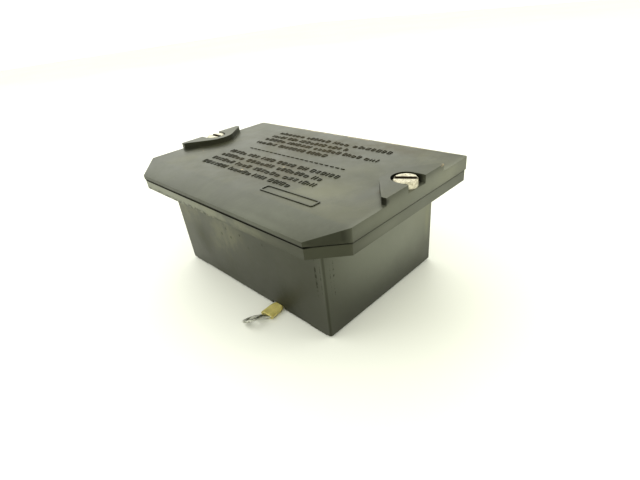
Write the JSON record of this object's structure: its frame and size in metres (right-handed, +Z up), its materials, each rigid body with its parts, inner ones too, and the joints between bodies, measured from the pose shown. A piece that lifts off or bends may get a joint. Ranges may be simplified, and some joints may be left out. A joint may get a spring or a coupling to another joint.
{
  "type": "battery case",
  "caption": "Panel-mounting battery case: a flanged tray with a chamfered lid held by captive slotted screws, large round cells in series, and a short lead that ends in a ring terminal.",
  "frame": {"origin": "on the ground that the case stands on, under the middle of the lid", "axes": "+X along the long side, -Y towards the lid edge with the cut-off corners, +Z up out of the lid"},
  "size_m": [0.145, 0.098, 0.0621],
  "materials": {
    "black_plastic": "semi-matte moulded, dusty and slightly faded",
    "gasket_rubber": "matte foam rubber",
    "nickel_plate": "nickel plated",
    "spring_steel": "bright",
    "brass": "turned",
    "cell_jacket": "printed jacket with no marks",
    "tinned_copper": "tin plated",
    "yellow_vinyl": "soft vinyl",
    "wire_jacket": "smooth vinyl"
  },
  "bodies": {
    "case": {"case_body": "black_plastic", "cell_1_cap": "nickel_plate", "cell_2_cap": "nickel_plate", "cell_3_cap": "nickel_plate", "cell_spring_1": "nickel_plate", "cell_spring_2": "nickel_plate", "cell_spring_3": "nickel_plate", "link_plate_back": "nickel_plate", "link_plate_front": "nickel_plate", "end_plate_minus": "nickel_plate", "end_plate_plus": "nickel_plate", "threaded_insert_left": "brass", "threaded_insert_right": "brass", "terminal_stud_minus": "brass", "terminal_washer_minus": "brass", "terminal_nut_minus": "brass", "terminal_stud_plus": "brass", "terminal_washer_plus": "brass", "terminal_nut_plus": "brass", "cell_1_can": "cell_jacket", "cell_2_can": "cell_jacket", "cell_3_can": "cell_jacket", "lead_inner_lug": "tinned_copper", "lead_outer_lug": "tinned_copper", "lead_inner_sleeve": "yellow_vinyl", "lead_outer_sleeve": "yellow_vinyl", "lead_wire": "wire_jacket"},
    "lid": {"lid": "black_plastic", "lid_gasket": "gasket_rubber"},
    "retainer_left": {"screw_retainer_left": "spring_steel"},
    "screw_left": {"lid_screw_left": "nickel_plate"},
    "retainer_right": {"screw_retainer_right": "spring_steel"},
    "screw_right": {"lid_screw_right": "nickel_plate"}
  },
  "joints": [
    {"name": "lid_lift", "type": "slide", "parent": "case", "child": "lid", "axis": [0, 0, 1], "range_m": [0, 0.09]},
    {"name": "screw_left_rise", "type": "slide", "parent": "lid", "child": "retainer_left", "axis": [0, 0, 1], "range_m": [0, 0.0036]},
    {"name": "screw_left_turn", "type": "hinge", "parent": "retainer_left", "child": "screw_left", "pos_m": [-0.0672, 0.0052, 0.0589], "axis": [0, 0, 1], "range_deg": [0, 1625]},
    {"name": "screw_right_rise", "type": "slide", "parent": "lid", "child": "retainer_right", "axis": [0, 0, 1], "range_m": [0, 0.0036]},
    {"name": "screw_right_turn", "type": "hinge", "parent": "retainer_right", "child": "screw_right", "pos_m": [0.0672, 0.0052, 0.0589], "axis": [0, 0, 1], "range_deg": [0, 1625]}
  ],
  "couplings": [
    {"joint": "screw_left_turn", "follows": "screw_left_rise", "rad_per_m": 7854},
    {"joint": "screw_right_turn", "follows": "screw_right_rise", "rad_per_m": 7854}
  ]
}
